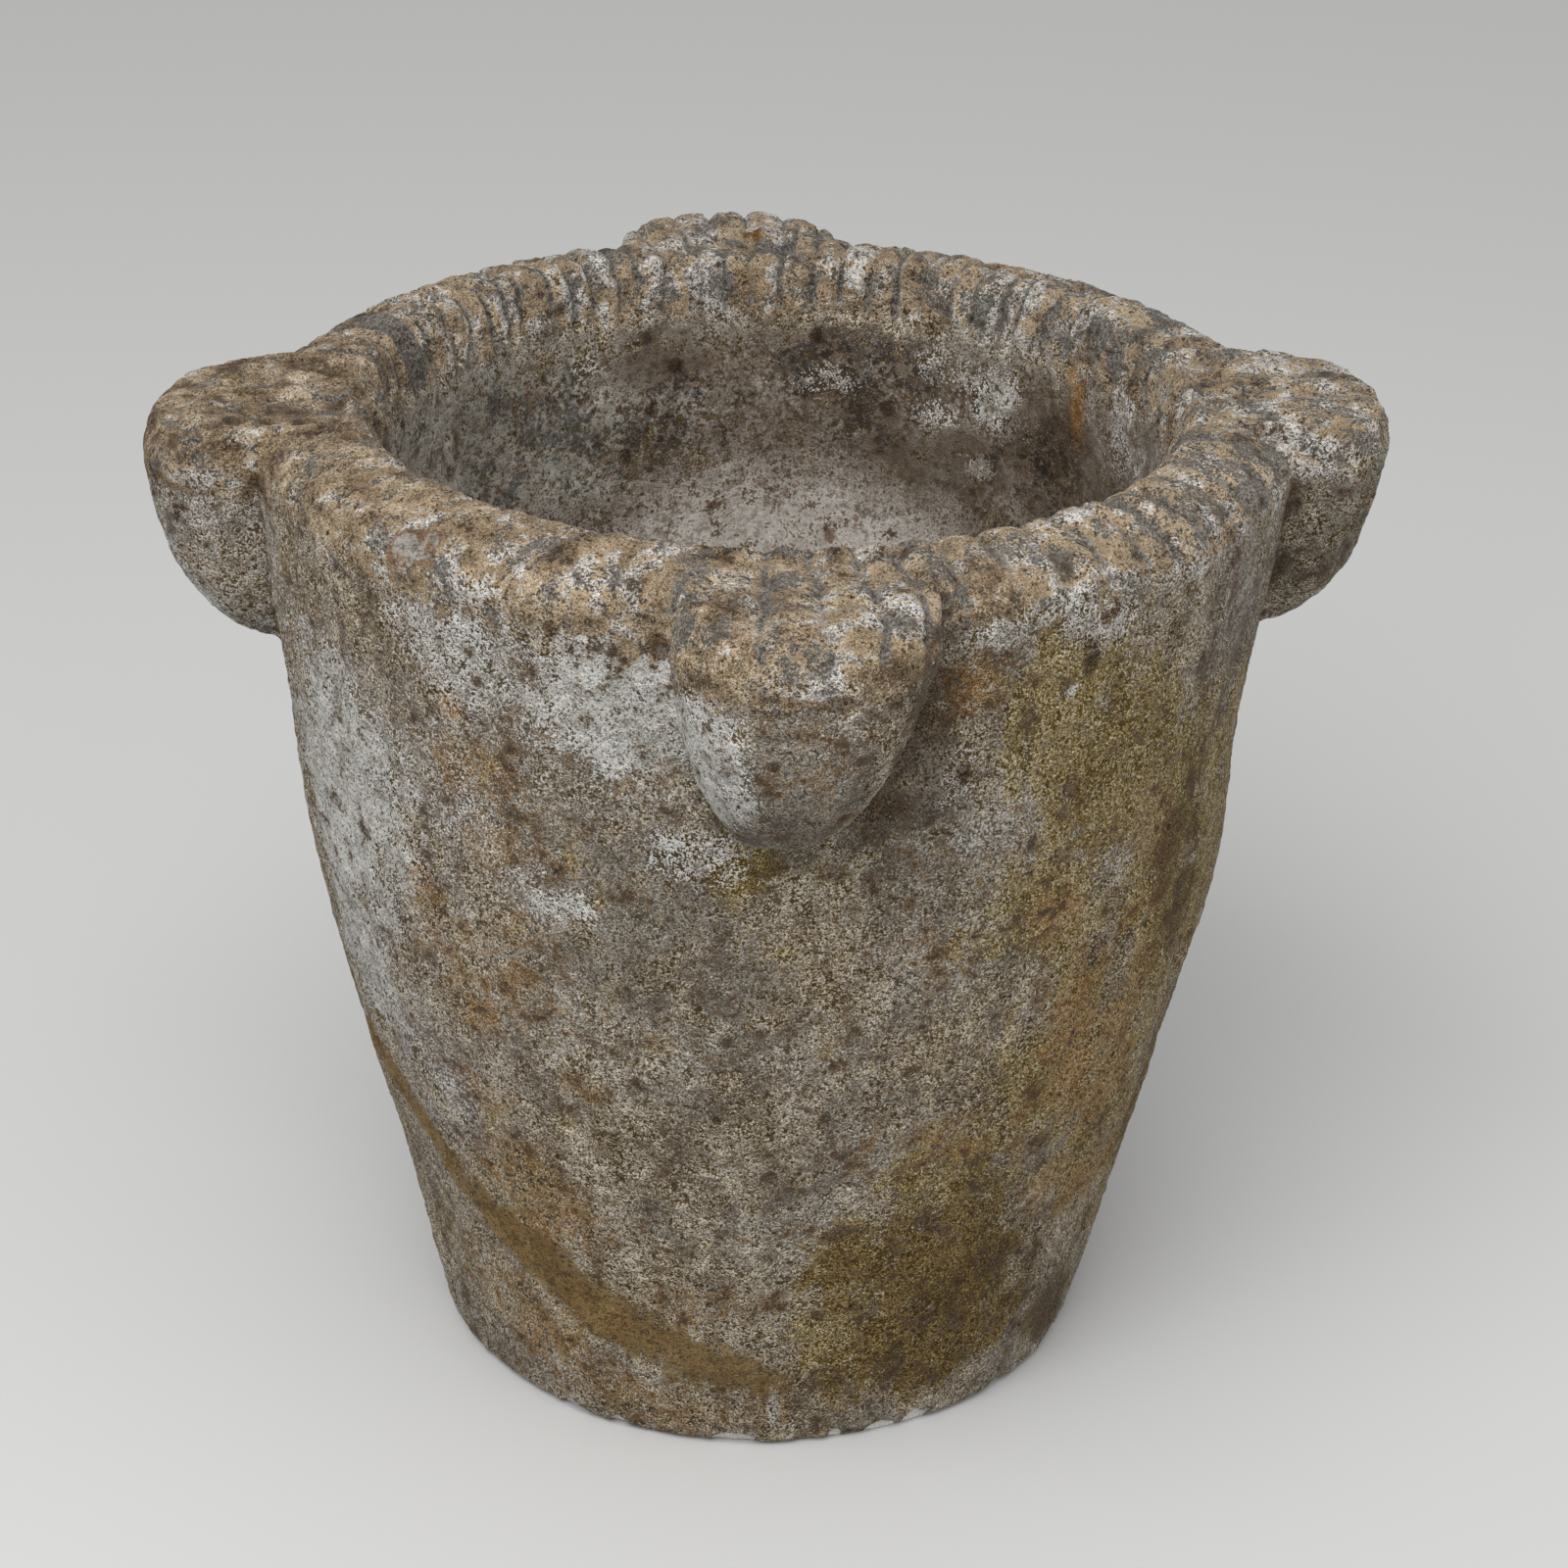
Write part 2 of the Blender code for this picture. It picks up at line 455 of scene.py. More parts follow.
def plain_skin():
    """The closed skin before wear, as a mesh of even faces."""
    rings = base_and_wall_rings() + nose_rings() + rim_rings() + bowl_rings()
    points = [quarter_points(ring, index) for ring in rings for index in range(lug_count)]
    count = sum(len(part) for part in points[:lug_count])
    points = np.concatenate(points + [np.array([(0, 0, 0), (0, 0, floor_thickness)])])
    mesh = bpy.data.meshes.new("plain_skin")
    mesh.from_pydata(points.tolist(), [], ring_faces(count, len(rings)))
    mesh.validate()
    skin = add_object("plain_skin", mesh)
    remesh = skin.modifiers.new("even", "REMESH")
    remesh.mode = "VOXEL"
    remesh.voxel_size = face_size
    even = bpy.data.meshes.new_from_object(evaluated(skin))
    bpy.data.objects.remove(skin)
    return even


def read_points(mesh):
    return read_values(mesh.vertices, "co", 3).astype(float)


def read_normals(mesh):
    return read_values(mesh.vertex_normals, "vector", 3).astype(float)


def write_points(mesh, points):
    mesh.vertices.foreach_set("co", points.astype(np.float32).ravel())
    mesh.update()


def rounded(mesh, points, steps, share):
    """Moves each point a share of the way to the mean of its neighbours, again and again."""
    ends = read_values(mesh.edges, "vertices", 2, np.int32)
    links = np.bincount(ends.ravel(), minlength=len(points))
    a, b = ends.T
    points = points.copy()
    for _ in range(steps):
        for axis in range(3):
            value = points[:, axis]
            total = np.bincount(a, value[b], len(points)) + np.bincount(b, value[a], len(points))
            points[:, axis] = value + share * (total / links - value)
    return points


# Places on the skin

# Where the bowl's side starts: this far inside the wall, and this far below the bowl's floor
bowl_side_inset = 0.008
bowl_floor_inset = 0.012

# Where the rim ends, above and below the wall's top and above and below the mouth
rim_outer_fade = (-0.009, 0.007)
rim_inner_fade = (-0.006, 0.020)


class Place:
    """Where each point of the plain skin lies, in terms that the wear and the masks use."""

    def __init__(self, mesh, points):
        self.points = points
        x, y, self.z = points.T
        self.r = np.hypot(x, y)
        self.azimuth = wrapped(np.degrees(np.arctan2(x, -y)) + front_turn)
        inner_limit = np.minimum(crest_radius, wall_radius(self.z) - bowl_side_inset)
        self.inside = (self.r < inner_limit) & (self.z > floor_thickness - bowl_floor_inset)
        outer_top = smooth_step(*(wall_top_height + fade for fade in rim_outer_fade), self.z)
        inner_top = smooth_step(*(mouth_height + fade for fade in rim_inner_fade), self.z)
        self.rim = np.where(self.inside, inner_top, outer_top)
        self.wall = np.where(self.inside, 0, 1 - self.rim)
        self.field = measure(mesh, fields_wanted)
        self.fray_wide, self.fray_fine = self.field["fray_wide"], self.field["fray_fine"]

    def away(self, azimuth):
        """Degrees from an azimuth, along the shorter way round."""
        return wrapped(self.azimuth - azimuth)

    def off(self, azimuth, z, half_width, half_height):
        """How far off the middle of an oval, in degrees and metres: 1 on its edge."""
        return np.hypot(self.away(azimuth) / half_width, (self.z - z) / half_height)

    def patch(self, azimuth, z, half_width, half_height, fray):
        """1 inside a soft, frayed oval, and 0 outside it."""
        off = self.off(azimuth, z, half_width, half_height)
        off += fray * (self.fray_wide + 0.6 * self.fray_fine)
        return smooth_step(1.5, 0.4, off)

    def round_table(self, pairs):
        """Values set at some azimuths from -180 to 180, and blended between them."""
        azimuths, values = zip(*pairs)
        return np.interp(self.azimuth, azimuths, values)


# Grooves across the rim

# Azimuths of the grooves that show clearly, and first and last azimuth and pitch of the runs between
wide_groove = -110.5
measured_grooves = (
    -155.1, -150.6, -147.1, -143.3, -138.0, -134.9, -130.9, -126.9, -122.7, -117.3, wide_groove,
    -0.5, 5.0, 10.3, 15.0, 20.5, 26.0, 32.0, 37.5,
)
groove_runs = ((-105.5, -10.0, 5.0), (42.6, 101.0, 5.2), (104.5, 202.0, 4.4))

# A groove's depth and half width in metres, how far it strays and how far the wide one's floor goes
# in degrees, and how high the ridges are domed
groove_depth = 0.0036
groove_half_width = 0.0021
groove_stray = 0.55
wide_groove_half_width = 1.7
ridge_dome = 0.0016

# Shares of that depth and half width that every groove has, and the most that chance adds to each
groove_depth_spread = (0.6, 0.7)
groove_width_spread = (0.8, 0.5)

# Shares of the depth and the half width that are left at some azimuths
groove_depth_shares = (
    (-180, 0.80), (-155, 1.00), (-112, 1.00), (-98, 0.45), (-60, 0.22), (-20, 0.25), (-6, 0.62),
    (14, 0.75), (22, 0.80), (45, 0.80), (70, 0.60), (100, 0.45), (135, 0.60), (160, 0.80), (180, 0.80),
)
groove_width_shares = (
    (-180, 1.0), (-110, 1.0), (-95, 0.8), (-40, 0.8), (-8, 1.5), (12, 1.6), (24, 1.1), (60, 1.0),
    (150, 0.9), (180, 1.0),
)


def groove_azimuths():
    """Azimuths of the chisel grooves: those that show clearly, and the runs between them."""
    azimuths = list(measured_grooves)
    for first, last, pitch in groove_runs:
        for index, azimuth in enumerate(np.arange(first, last, pitch)):
            stray = (scattered(17, index, int(abs(first))) - 0.5) * pitch * 0.35
            azimuths.append(wrapped(azimuth + stray))
    return np.sort(azimuths)


def grooves(place):
    """How deep the grooves cut, how much of a groove is there, and each ridge's own number."""
    lines = groove_azimuths()
    azimuth = wrapped(place.azimuth + groove_stray * place.field["stray"])
    after = np.searchsorted(lines, azimuth) % len(lines)
    before = (after - 1) % len(lines)
    to_after = np.abs(wrapped(azimuth - lines[after]))
    to_before = np.abs(wrapped(azimuth - lines[before]))
    nearest = np.where(to_after < to_before, after, before)
    closest = np.minimum(to_after, to_before)
    off = np.maximum(closest - wide_groove_half_width * (lines[nearest] == wide_groove), 0)

    def own(seed, least=0.0, spread=1.0):
        return least + spread * np.array([scattered(seed, index) for index in range(len(lines))])

    own_depth, own_width = own(23, *groove_depth_spread), own(29, *groove_width_spread)
    own_height = own(31)
    half_width = groove_half_width * own_width[nearest] * place.round_table(groove_width_shares)
    there = np.exp(-np.abs(np.radians(off) * place.r / half_width) ** 1.6)
    there *= 0.45 + 0.55 * smooth_step(-0.7, 0.2, place.field["fill"])
    there *= place.rim ** 2
    worn = place.round_table(groove_depth_shares)
    off_ridge = 1 - 2 * closest / np.maximum(to_after + to_before, 1)
    depth = groove_depth * own_depth[nearest] * worn * there
    depth += ridge_dome * worn * place.rim * np.clip(off_ridge, 0, 1) ** 2
    return depth, there * smooth_step(0.1, 0.7, worn), own_height[before] * place.rim


# Pits, chips and tufts

# Round hollows: the largest radius, and the share of the cells that have one
large_pits = (0.0027, 0.42)
small_pits = (0.0021, 0.60)
blisters = (0.0068, 0.60)

# Dark places of the rim: the slot's azimuth and radius and its half sizes in degrees and metres,
# the end of the wide groove's floor, and half sizes and the middle of the hollow at the rear lug
slot_azimuth = -86.3
slot_radius = 0.2062
slot_half_width = 1.3
slot_half_length = 0.0090
wide_floor_edge = (0.234, 0.222)
back_chip_half_width = (0.0125, 0.0090)
back_chip_half_length = (0.0190, 0.0145)
back_chip_across = -0.0022
back_chip_away = 0.2250


def pits(place, name, largest, share):
    """Round hollows scattered over the skin: 1 in the middle of one, 0 off it."""
    radius = largest * (0.4 + 0.6 * place.field[name + "_size"])
    there = smooth_step(1.0, 0.3, place.field[name] / radius)
    return np.where(place.field[name + "_own"] < share, there, 0)


def wide_groove_floor(place):
    """The dark floor of the wide groove, on the crest and the inner side of the rim."""
    off = np.abs(place.away(wide_groove - 1.0)) + 0.6 * place.fray_fine
    inner_side = smooth_step(*wide_floor_edge, place.r) * (place.z > mouth_height + 0.008)
    return smooth_step(3.3, 1.9, off) * inner_side


def crest_slot(place):
    """A short dark slot across the crest beside the left lug."""
    across = place.away(slot_azimuth) / slot_half_width
    off = np.hypot(across, (place.r - slot_radius) / slot_half_length)
    return smooth_step(1.15, 0.60, off + 0.15 * place.fray_fine) * (place.z > mouth_height)


def seen_from_front(place):
    """The points' places across and away from the camera."""
    turn = math.radians(front_turn)
    x, y = place.points[:, 0], place.points[:, 1]
    return x * math.cos(turn) - y * math.sin(turn), x * math.sin(turn) + y * math.cos(turn)


def back_chip(place):
    """A squared hollow in the crest in front of the rear lug."""
    across, away = seen_from_front(place)
    warp = 0.0015 * place.fray_fine
    sides = smooth_step(*back_chip_half_width, np.abs(across - back_chip_across + warp))
    ends = smooth_step(*back_chip_half_length, np.abs(away - back_chip_away - warp))
    return sides * ends * (place.z > mouth_height)


# Small tufts of rusty moss in that hollow: across, away from the camera, and radius
tufts = ((-0.0149, 0.2432, 0.0058), (-0.0094, 0.2112, 0.0052))


def moss_tufts(place):
    across, away = seen_from_front(place)
    off = np.min([np.hypot(across - x, away - y) / radius for x, y, radius in tufts], axis=0)
    there = smooth_step(1.15, 0.55, off + 0.25 * place.fray_fine)
    return there * (place.z > mouth_height)


# A flat chip on the outer side of the rim: azimuth, height, and half sizes in degrees and metres
rim_chip = (-40.0, 0.4865, 2.4, 0.0060)
rim_chip_depth = 0.0020

# Fresh chips along the edge of the foot: azimuth and half width in degrees
foot_chips = (
    (-75, 2.5), (-32.5, 2.6), (-24, 1.8), (-3.5, 3.6), (14, 1.2), (22.5, 3.2), (29, 2.4), (48, 2.2),
    (71, 1.6), (100, 3.0), (137, 2.2), (171, 3.6), (-158, 2.0), (-120, 3.2), (-96, 1.5),
)
foot_chip_height = 0.0075
foot_chip_depth = 0.0030


def flat_chip(place):
    """How much of the rim's chip is there, and how much of its rusty edge."""
    off = place.off(*rim_chip) + 0.55 * place.fray_fine
    face, edge = smooth_step(1.10, 0.80, off), smooth_step(1.55, 1.15, off)
    return face * ~place.inside, (edge - face) * ~place.inside


def frayed_foot(place):
    """How much of a fresh chip of the foot's edge is there."""
    off = np.min([place.off(azimuth, 0, half, foot_chip_height) for azimuth, half in foot_chips], axis=0)
    there = smooth_step(1.15, 0.65, off + 0.35 * place.field["foot"])
    return there * (place.r > base_radius - 0.012)


# How far the wear moves the skin in metres: reliefs are noise, and the rest are losses and depths
rim_relief = 0.0009
rim_loss = 0.0007
low_ridge_depth = 0.0010
flake_depth = 0.0013
wall_wobble = 0.0010
wall_relief = 0.0008
plate_depth = 0.0005
lump_relief = 0.0005
grain_relief = 0.00035
grain_loss = 0.0005
large_pit_depth = 0.0013
small_pit_depth = 0.0007
back_chip_depth = 0.0055
tuft_height = 0.0022
tuft_relief = 0.0010
slot_depth = 0.0026
wide_floor_depth = 0.0008


def wear(place):
    """How far each point moves out along its normal, and the masks of what the wear leaves."""
    field = place.field
    cut, groove, ridge_own = grooves(place)
    flakes = smooth_step(0.25, 0.45, field["flake"]) * place.rim
    plates = smooth_step(0.55, 0.75, field["flake"]) * place.wall
    large, small = pits(place, "large", *large_pits), pits(place, "small", *small_pits)
    chip_face, chip_edge = flat_chip(place)
    chip, tuft, foot = back_chip(place), moss_tufts(place), frayed_foot(place)
    slot, wide_floor = crest_slot(place), wide_groove_floor(place)

    move = -cut - low_ridge_depth * ridge_own * (1 - groove)
    move += place.rim * (rim_relief * field["ridge"] - rim_loss) - flake_depth * flakes
    uneven = wall_wobble * field["wobble"] + wall_relief * field["cut"]
    move += place.wall * uneven - plate_depth * plates
    for azimuth, z, half_width, half_height, out in swellings:
        move += out * smooth_step(1.6, 0.2, place.off(azimuth, z, half_width, half_height)) * place.wall
    rough = lump_relief * field["lump"] + grain_relief * field["grain"] - grain_loss
    move += rough * (1 - 0.8 * chip_face) * (1 - 0.4 * place.inside * (1 - place.rim))
    move -= large_pit_depth * large * (0.4 + 0.6 * place.wall) + small_pit_depth * small
    move -= back_chip_depth * chip + rim_chip_depth * chip_face + foot_chip_depth * foot
    move += tuft * (tuft_height + tuft_relief * field["grain"])
    move -= slot_depth * slot + wide_floor_depth * wide_floor
    return move, {
        "own": ridge_own,
        "spot": large,
        "pore": small,
        "blister": pits(place, "blister", *blisters) * place.inside,
        "chip": chip_face,
        "rust": chip_edge,
        "fresh": foot,
        "tuft": tuft,
        "dirt": np.maximum.reduce([groove ** 1.5, 0.8 * chip, slot, wide_floor]),
    }


# Masks

# Each row of these tables is a patch: its azimuth, its height in mm, its half width in degrees, its
# half height in mm, and its strength

white_patches = (
    (-16, 437, 11, 40, 1.3), (-33, 447, 13, 36, 0.75), (-57, 340, 15, 75, 1.25),
    (-62, 240, 10, 50, 1.1), (-8, 366, 5, 20, 0.9), (-23, 325, 6, 10, 0.85), (-4.5, 430, 3.2, 45, 1.2),
    (-75, 440, 7, 30, 0.7), (-37, 365, 9, 30, 0.45), (-30, 330, 7, 26, 0.4), (36, 466, 5, 18, 0.8),
    (24, 470, 4, 12, 0.8), (19, 402, 5, 16, 0.6), (24, 369, 5, 14, 0.5), (64, 430, 8, 50, 0.6),
    (3, 27, 1.2, 18, 0.9), (-48, 132, 7, 22, 0.5), (-50, 185, 12, 40, 0.5), (-48, 300, 14, 110, 0.35),
    (45.5, 328, 1.2, 3, 1), (-90, 420, 16, 55, 1), (33, 433, 1.2, 4, 1), (100, 400, 11, 50, 0.6),
    (150, 330, 22, 100, 0.8), (-140, 250, 16, 80, 0.7), (-165, 430, 14, 35, 0.7),
    (120, 200, 14, 50, 0.5),
)
olive_patches = (
    (33, 430, 9, 50, 0.75), (42, 385, 10, 60, 1), (54, 330, 11, 90, 0.8), (68, 300, 12, 100, 0.85),
    (34, 330, 10, 50, 0.6), (41, 265, 9, 60, 0.65), (37, 215, 10, 35, 0.8), (29, 165, 12, 30, 0.8),
    (20, 215, 7, 60, 0.35), (27, 115, 18, 40, 1), (30, 65, 18, 40, 1), (52, 200, 22, 80, 0.6),
    (12, 70, 10, 35, 0.7), (-3, 355, 4, 18, 0.75), (8, 310, 8, 40, 0.4), (75, 130, 16, 70, 0.7),
    (-170, 120, 24, 70, 0.85), (110, 100, 20, 60, 0.8), (-105, 300, 12, 90, 0.6),
    (170, 300, 12, 90, 0.6), (-125, 90, 18, 50, 0.6),
)
moss_patches = (
    (27, 115, 18, 40, 1), (30, 65, 18, 40, 1), (58, 50, 9, 40, 0.7), (8, 35, 12, 22, 0.5),
    (-170, 110, 22, 60, 0.8), (110, 80, 18, 50, 0.7),
)
ochre_patches = (
    (-35.3, 418, 1.6, 8, 1.3), (-35, 382, 3.5, 16, 0.6), (-31, 350, 6, 18, 0.45),
    (-29.5, 311, 4, 14, 0.5), (-39, 275, 7, 30, 0.6), (-47, 330, 5, 20, 0.4), (-37, 199, 5, 16, 0.5),
    (-22, 225, 4, 10, 0.5), (40, 250, 6, 35, 0.8), (50, 190, 9, 32, 0.8), (30, 200, 8, 20, 0.5),
    (57, 130, 10, 30, 0.7), (3, 24, 3, 22, 0.7), (21, 445, 4, 22, 0.6), (170, 400, 12, 40, 0.6),
    (-34, 145, 13, 32, 0.75), (-18, 25, 16, 20, 0.55), (52, 290, 8, 60, 0.45),
    (-120, 170, 10, 30, 0.7), (-8, 95, 12, 30, 0.35), (44, 211, 5, 22, 0.9), (51, 232, 5, 20, 0.8),
    (44.5, 138, 5, 18, 0.8), (35.5, 311, 4, 18, 0.6), (-36.5, 251, 4, 16, 0.8),
    (-42.5, 312, 4, 20, 0.7), (-30.5, 383, 2.5, 12, 0.8), (-29.5, 280, 3, 10, 0.6),
    (-38, 62, 16, 30, 0.55),
)
# Dark stains; the patches at 15.5 and 13 degrees on and beside the front lug's right side and at 88
# degrees on the right lug's side are partly painted shade
dark_patches = (
    (15.5, 430, 4, 50, 1), (13, 385, 3, 20, 0.8), (58, 310, 6, 45, 0.8), (40, 85, 12, 30, 0.5),
    (-86, 440, 12, 12, 0.5), (88, 410, 7, 30, 0.4), (0, 352, 1.6, 16, 0.5), (-4, 388, 4, 10, 0.5),
    (64, 420, 7, 40, 0.5), (-80, 488, 5, 8, 0.8), (76, 180, 10, 80, 0.5), (58, 30, 9, 30, 0.7),
    (12, 30, 14, 20, 0.35), (-90, 490, 12, 12, 0.35),
)
grey_patches = (
    (-15, 335, 12, 50, 1), (-2, 300, 8, 50, 0.7), (-2, 190, 14, 40, 0.5), (1, 410, 9, 50, 1),
    (80, 440, 14, 40, 0.7), (-95, 400, 14, 50, 0.3), (15, 370, 8, 30, 0.5), (-130, 380, 20, 50, 0.7),
    (140, 180, 20, 60, 0.6),
)
bowl_white_patches = (
    (141, 436, 6.5, 18, 0.75), (144, 397, 2.6, 7, 0.9), (112, 445, 6, 26, 0.75),
    (103, 430, 5, 26, 0.6), (-148, 448, 4, 10, 0.6), (172, 432, 6, 8, 0.45), (153, 420, 4, 10, 0.6),
    (134, 470, 5, 8, 0.6), (-20, 400, 12, 40, 0.7), (40, 430, 10, 30, 0.6), (-172, 474, 3, 10, 0.8),
    (118, 474, 9, 10, 0.8), (152, 446, 5, 10, 0.6),
)
bowl_ochre_patches = (
    (124.5, 446, 2.2, 20, 1), (127, 466, 1.8, 12, 0.8), (-170, 445, 8, 12, 0.15),
    (-140, 440, 6, 14, 0.2), (30, 400, 5, 30, 0.5),
)
bowl_dark_patches = (
    (104, 452, 7, 14, 0.6), (150, 396, 14, 18, 0.6), (-160, 446, 8, 16, 0.6), (-120, 430, 14, 30, 0.3),
    (128, 415, 12, 36, 1), (113, 400, 12, 40, 0.8),
)
# Grey in the bowl: a bluish-grey film, made lighter on the bowl's left partly as painted light
bowl_grey_and_lit_patches = (
    (-125, 420, 34, 70, 1), (-20, 420, 40, 70, 0.6),
)

# Small dark dots with a clear edge, on the wall and the lugs and in the bowl
wall_dots = (
    (35, 447, 1.2, 12, 0.9), (-22, 468, 1, 5, 0.9), (-10.5, 468, 1.3, 6.5, 0.9),
    (6, 466, 1.6, 4.5, 0.9), (0.8, 436, 0.7, 4, 0.8), (12, 345, 0.7, 4, 0.8), (21, 402, 0.9, 5, 0.8),
    (-4, 262, 0.8, 4, 0.8), (30, 358, 0.8, 5, 0.8), (-26, 300, 0.8, 4, 0.7), (8, 218, 0.9, 4, 0.7),
    (-12, 205, 0.8, 4, 0.7),
)
bowl_dots = (
    (-158.5, 458, 1.3, 4.5, 1), (-159.5, 418, 1.3, 4.5, 1), (-163.5, 441, 1.3, 4.5, 1),
    (173.5, 458, 1.3, 5, 1), (161.5, 421, 1.3, 4.5, 1), (-155, 394, 1.2, 4, 1),
    (-148, 430, 0.9, 3, 0.8), (-140, 446, 0.9, 3.5, 0.8), (-134, 420, 0.9, 3, 0.8),
)

# Share of white and slate in the rim's crust; the high shares on the back left are partly painted light
# that brightens the rim there
pale_crust_shares = (
    (-180, 0.60), (-150, 0.65), (-115, 0.60), (-98, 0.10), (-62, 0.12), (-45, 0.40), (-20, 0.45),
    (10, 0.45), (30, 0.60), (50, 0.90), (95, 0.75), (130, 0.85), (155, 0.60), (180, 0.60),
)

# A smooth ochre vein down round the left of the wall: its height, its half width and its strength at
# some azimuths, and the azimuths between which its ends fade in
vein_line = (
    (-120, 0.215), (-85, 0.203), (-70, 0.187), (-59, 0.167), (-52, 0.145), (-44, 0.120), (-35, 0.098),
    (-27, 0.083), (-21, 0.073), (-15, 0.066), (-7, 0.054), (0, 0.047), (6, 0.042),
)
vein_half_widths = (
    (-120, 0.002), (-80, 0.007), (-60, 0.010), (-48, 0.0125), (-30, 0.0155), (-7, 0.015), (6, 0.008),
)
vein_strengths = ((-120, 0.9), (-38, 1.0), (-18, 0.78), (6, 0.60))
vein_left_end = (-122, -75)
vein_right_end = (9, 1)


def gather(place, patches, fray=0.35):
    """The strongest of several patches at each point."""
    total = np.zeros(len(place.z))
    for azimuth, z, half_width, half_height, strength in patches:
        there = place.patch(azimuth, z / 1000, half_width, half_height / 1000, fray)
        total = np.maximum(total, strength * there)
    return total


def vein(place):
    middle = place.round_table(vein_line) - 0.004 * place.fray_wide
    half, strength = place.round_table(vein_half_widths), place.round_table(vein_strengths)
    ends = smooth_step(*vein_left_end, place.azimuth) * smooth_step(*vein_right_end, place.azimuth)
    off = np.abs(place.z - middle) / half + 0.20 * place.fray_fine
    return smooth_step(2.0, 0.2, off) * ends * strength * place.wall


# How far the crust's lower edge lies above or below the even line
crust_edge_lifts = (
    (-180, 0.0), (-105, -0.004), (-88, -0.012), (-70, -0.002), (-12, 0.000), (-4, -0.008), (6, -0.002),
    (13, 0.006), (24, 0.006), (45, 0.010), (75, 0.006), (100, 0.000), (180, 0.0),
)

# Where the crust is all tan
tan_patches = (
    (-3.5, 476, 4, 14, 0.6), (9, 482, 2.5, 10, 0.5), (-88, 462, 12, 12, 0.5), (-62, 478, 9, 16, 0.4),
    (23, 480, 3.5, 16, 0.6), (-28, 476, 5, 10, 0.4),
)

# Where the crust is mostly white
white_crust_patches = (
    (-75.5, 472, 2.4, 6, 1.3), (3.5, 477, 3, 7, 0.9), (12, 491, 2.6, 7, 0.7), (-8, 488, 2, 9, 0.7),
    (-31, 481, 4, 8, 0.9), (-19, 486, 3, 8, 0.8), (-52, 474, 5, 8, 0.6), (31, 478, 3, 8, 0.8),
    (143, 486, 5, 12, 0.6), (-171, 484, 2, 16, 1), (122, 490, 6, 10, 0.5), (70, 486, 8, 12, 0.4),
    (-163, 484, 1.8, 10, 0.8), (-147, 484, 2, 12, 0.9), (-135, 486, 2, 8, 0.5),
)


# The crust's edges: from the wall's top and from the mouth, and how softly they fade
crust_outer_edge = -0.007
crust_inner_edge = 0.012
crust_outer_fade = (-0.020, 0.012)
crust_inner_fade = (-0.016, 0.014)


def crust_cover(place):
    """Where the crust lies on the rim and the lug tops, with frayed lower edges."""
    outer_edge = wall_top_height + crust_outer_edge + place.round_table(crust_edge_lifts)
    outer_edge = outer_edge + 0.007 * place.field["edge"] + 0.008 * place.fray_wide
    inner_edge = mouth_height + crust_inner_edge + 0.007 * place.field["edge"]
    inner = smooth_step(*crust_inner_fade, place.z - inner_edge)
    return np.where(place.inside, inner, smooth_step(*crust_outer_fade, place.z - outer_edge))


# How many fine streaks run across the rim's crust, all round
streak_count = 290


def groove_streaks(place):
    """Fine streaks of the crust along the grooves, about -1 to 1."""
    own = np.random.default_rng(41).uniform(-1, 1, streak_count)
    at = (place.azimuth + 180 + 1.3 * place.field["stray"]) % 360 / 360 * streak_count
    index = np.floor(at).astype(int) % streak_count
    after = smooth_step(0, 1, at - np.floor(at))
    return (own[index] * (1 - after) + own[(index + 1) % streak_count] * after) * place.rim


# The bowl is damp from a little above the mouth, and worn smooth below a height that rises towards
# one azimuth
damp_fade = (0.026, -0.016)
worn_fade = (0.044, -0.056)
worn_top = 0.345
worn_rise = 0.052
worn_azimuth = 179
worn_spread = 34


def masks(place):
    """What grows or lies where, each from 0 to 1."""

    def spread(in_bowl, outside, share=1):
        return np.where(place.inside, gather(place, in_bowl), gather(place, outside) * share)

    pale = place.round_table(pale_crust_shares) - gather(place, tan_patches)
    bowl_top = place.z + 0.006 * place.field["edge"]
    worn_height = worn_top + worn_rise * np.exp(-(place.away(worn_azimuth) / worn_spread) ** 2)
    worn_height = worn_height + 0.008 * place.fray_wide
    return {
        "white": spread(bowl_white_patches, white_patches, place.wall),
        "olive": gather(place, olive_patches) * place.wall,
        "ochre": spread(bowl_ochre_patches, ochre_patches, place.wall),
        "grey": spread(bowl_grey_and_lit_patches, grey_patches),
        "dark": spread(bowl_dark_patches, dark_patches),
        "dot": np.where(place.inside, gather(place, bowl_dots, 0.20), gather(place, wall_dots, 0.22)),
        "vein": vein(place),
        "cap": crust_cover(place),
        "pale": np.clip(np.maximum(pale, 0) + gather(place, white_crust_patches), 0, 1.5),
        "bowl": place.inside * smooth_step(*(mouth_height + fade for fade in damp_fade), bowl_top),
        "worn": place.inside * smooth_step(*worn_fade, place.z - worn_height),
        "line": groove_streaks(place),
        "moss": gather(place, moss_patches) * place.wall,
    }


# The stone's material

specular_level = 0.25
bump_height = 0.0028
ragged_edge = (0.46, 0.54)
soft_edge = (0.22, 0.85)


